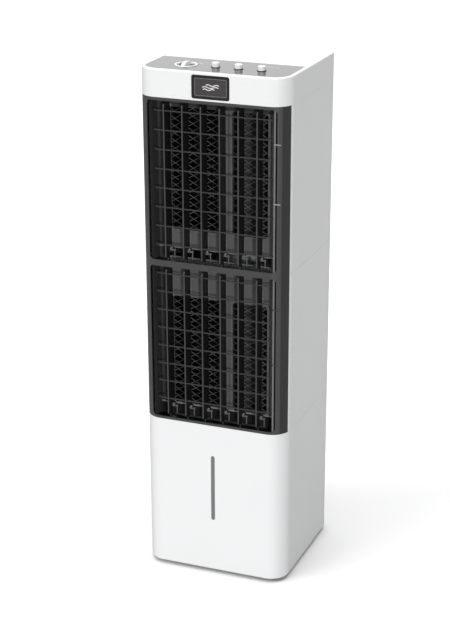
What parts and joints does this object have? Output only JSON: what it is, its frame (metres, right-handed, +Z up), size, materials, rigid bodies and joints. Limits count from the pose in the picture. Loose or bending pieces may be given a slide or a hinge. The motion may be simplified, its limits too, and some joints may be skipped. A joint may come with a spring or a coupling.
{
  "type": "evaporative cooler",
  "caption": "White household tower evaporative cooler with a black double air outlet, swinging vanes, top controls, rear intake pad and a pull-out water tank.",
  "frame": {"origin": "middle of the footprint at floor level", "axes": "+Z up, the air outlet faces -Y, +X is to the right seen from the front"},
  "size_m": [0.29, 0.291, 1.0062],
  "materials": {
    "white_shell": "satin moulded ABS",
    "white_cap": "smooth satin",
    "black_grille": "fine spark texture",
    "black_inner": "plain moulded",
    "panel_gloss": "high gloss",
    "badge_dark": "satin with a brushed plate",
    "collar_grey": "plain moulded",
    "tank_plastic": "translucent polypropylene",
    "lens_smoke": "smoked clear",
    "float_red": "foamed",
    "rubber": "matte",
    "motor_steel": "galvanised sheet",
    "bright_steel": "zinc plated",
    "filter_mesh": "woven nylon mesh in a frame",
    "pad_frame_grey": "plain moulded",
    "pad_cellulose": "corrugated honeycomb"
  },
  "bodies": {
    "casing": {"base_casing": "white_shell", "feet": "rubber", "tank_window": "lens_smoke", "lower_housing": "white_shell", "upper_housing": "white_shell", "cord_gland": "collar_grey", "top_cover": "white_shell", "badge_frame": "badge_dark", "badge_plate": "badge_dark", "control_panel": "panel_gloss", "switch_plate": "collar_grey", "speed_switch": "collar_grey", "button_collars": "collar_grey", "push_switches": "collar_grey", "grille_frame": "black_grille", "outlet_duct": "black_inner", "guard_fins": "black_grille", "guard_bars": "black_grille", "upper_lattice": "black_inner", "lower_lattice": "black_inner", "swing_motor": "collar_grey", "blower_motor": "motor_steel", "motor_bracket": "motor_steel", "upper_scroll": "black_inner", "lower_scroll": "black_inner", "terminal_box": "collar_grey", "water_distributor": "tank_plastic", "pump": "pad_frame_grey", "supply_hose": "rubber", "casing_screws": "bright_steel"},
    "tank": {"water_tank": "tank_plastic"},
    "level_float": {"level_float": "float_red"},
    "drain_plug": {"drain_plug": "rubber"},
    "speed_knob": {"speed_knob": "white_cap", "knob_dish": "black_inner"},
    "cool_button": {"cool_button": "white_cap"},
    "swing_button": {"swing_button": "white_cap"},
    "timer_button": {"timer_button": "white_cap"},
    "vane_drive": {"upper_vane_4": "black_inner", "lower_vane_4": "black_inner", "vane_coupler": "black_inner"},
    "upper_rod": {"upper_link_rod": "black_inner"},
    "lower_rod": {"lower_link_rod": "black_inner"},
    "blower": {"blower_shaft": "bright_steel", "upper_wheel": "black_inner", "lower_wheel": "black_inner"},
    "intake_door": {"rear_grille": "white_shell", "dust_filter": "filter_mesh", "pad_frame": "pad_frame_grey", "cooling_pad": "pad_cellulose"},
    "upper_vane_1": {"upper_vane_1": "black_inner"},
    "upper_vane_2": {"upper_vane_2": "black_inner"},
    "upper_vane_3": {"upper_vane_3": "black_inner"},
    "upper_vane_5": {"upper_vane_5": "black_inner"},
    "upper_vane_6": {"upper_vane_6": "black_inner"},
    "lower_vane_1": {"lower_vane_1": "black_inner"},
    "lower_vane_2": {"lower_vane_2": "black_inner"},
    "lower_vane_3": {"lower_vane_3": "black_inner"},
    "lower_vane_5": {"lower_vane_5": "black_inner"},
    "lower_vane_6": {"lower_vane_6": "black_inner"}
  },
  "joints": [
    {"name": "vane_swing", "type": "hinge", "parent": "casing", "child": "vane_drive", "pos_m": [0.01535, -0.117, 0.6345], "axis": [0, 0, 1], "range_deg": [-32, 32]},
    {"name": "upper_vane_1_swing", "type": "hinge", "parent": "casing", "child": "upper_vane_1", "pos_m": [-0.09295, -0.117, 0.79], "axis": [0, 0, 1], "range_deg": [-32, 32]},
    {"name": "upper_vane_2_swing", "type": "hinge", "parent": "casing", "child": "upper_vane_2", "pos_m": [-0.05685, -0.117, 0.79], "axis": [0, 0, 1], "range_deg": [-32, 32]},
    {"name": "upper_vane_3_swing", "type": "hinge", "parent": "casing", "child": "upper_vane_3", "pos_m": [-0.02075, -0.117, 0.79], "axis": [0, 0, 1], "range_deg": [-32, 32]},
    {"name": "upper_vane_5_swing", "type": "hinge", "parent": "casing", "child": "upper_vane_5", "pos_m": [0.05145, -0.117, 0.79], "axis": [0, 0, 1], "range_deg": [-32, 32]},
    {"name": "upper_vane_6_swing", "type": "hinge", "parent": "casing", "child": "upper_vane_6", "pos_m": [0.08755, -0.117, 0.79], "axis": [0, 0, 1], "range_deg": [-32, 32]},
    {"name": "lower_vane_1_swing", "type": "hinge", "parent": "casing", "child": "lower_vane_1", "pos_m": [-0.09295, -0.117, 0.48], "axis": [0, 0, 1], "range_deg": [-32, 32]},
    {"name": "lower_vane_2_swing", "type": "hinge", "parent": "casing", "child": "lower_vane_2", "pos_m": [-0.05685, -0.117, 0.48], "axis": [0, 0, 1], "range_deg": [-32, 32]},
    {"name": "lower_vane_3_swing", "type": "hinge", "parent": "casing", "child": "lower_vane_3", "pos_m": [-0.02075, -0.117, 0.48], "axis": [0, 0, 1], "range_deg": [-32, 32]},
    {"name": "lower_vane_5_swing", "type": "hinge", "parent": "casing", "child": "lower_vane_5", "pos_m": [0.05145, -0.117, 0.48], "axis": [0, 0, 1], "range_deg": [-32, 32]},
    {"name": "lower_vane_6_swing", "type": "hinge", "parent": "casing", "child": "lower_vane_6", "pos_m": [0.08755, -0.117, 0.48], "axis": [0, 0, 1], "range_deg": [-32, 32]},
    {"name": "upper_rod_pivot", "type": "hinge", "parent": "vane_drive", "child": "upper_rod", "pos_m": [0.02275, -0.117, 0.637], "axis": [0, 0, 1], "range_deg": [-32, 32]},
    {"name": "lower_rod_pivot", "type": "hinge", "parent": "vane_drive", "child": "lower_rod", "pos_m": [0.02275, -0.117, 0.32], "axis": [0, 0, 1], "range_deg": [-32, 32]},
    {"name": "blower_spin", "type": "hinge", "parent": "casing", "child": "blower", "pos_m": [0.02, -0.014, 0.628], "axis": [0, 0, 1], "continuous": true},
    {"name": "knob_turn", "type": "hinge", "parent": "casing", "child": "speed_knob", "pos_m": [-0.0684, -0.092, 0.998], "axis": [0, 0, 1], "range_deg": [-135, 0]},
    {"name": "cool_button_press", "type": "slide", "parent": "casing", "child": "cool_button", "axis": [0, 0, -1], "range_m": [0, 0.004], "stiffness_N_per_m": 400, "springref_m": -0.003},
    {"name": "swing_button_press", "type": "slide", "parent": "casing", "child": "swing_button", "axis": [0, 0, -1], "range_m": [0, 0.004], "stiffness_N_per_m": 400, "springref_m": -0.003},
    {"name": "timer_button_press", "type": "slide", "parent": "casing", "child": "timer_button", "axis": [0, 0, -1], "range_m": [0, 0.004], "stiffness_N_per_m": 400, "springref_m": -0.003},
    {"name": "tank_slide", "type": "slide", "parent": "casing", "child": "tank", "axis": [0, 1, 0], "range_m": [0, 0.17]},
    {"name": "float_rise", "type": "slide", "parent": "tank", "child": "level_float", "axis": [0, 0, 1], "range_m": [0, 0.135]},
    {"name": "drain_plug_pull", "type": "slide", "parent": "tank", "child": "drain_plug", "axis": [0, 1, 0], "range_m": [0, 0.03]},
    {"name": "intake_door_pull", "type": "slide", "parent": "casing", "child": "intake_door", "axis": [0, 1, 0], "range_m": [0, 0.09]}
  ],
  "couplings": [
    {"joint": "upper_vane_1_swing", "follows": "vane_swing", "ratio": 1},
    {"joint": "upper_vane_2_swing", "follows": "vane_swing", "ratio": 1},
    {"joint": "upper_vane_3_swing", "follows": "vane_swing", "ratio": 1},
    {"joint": "upper_vane_5_swing", "follows": "vane_swing", "ratio": 1},
    {"joint": "upper_vane_6_swing", "follows": "vane_swing", "ratio": 1},
    {"joint": "lower_vane_1_swing", "follows": "vane_swing", "ratio": 1},
    {"joint": "lower_vane_2_swing", "follows": "vane_swing", "ratio": 1},
    {"joint": "lower_vane_3_swing", "follows": "vane_swing", "ratio": 1},
    {"joint": "lower_vane_5_swing", "follows": "vane_swing", "ratio": 1},
    {"joint": "lower_vane_6_swing", "follows": "vane_swing", "ratio": 1},
    {"joint": "upper_rod_pivot", "follows": "vane_swing", "ratio": -1},
    {"joint": "lower_rod_pivot", "follows": "vane_swing", "ratio": -1}
  ]
}
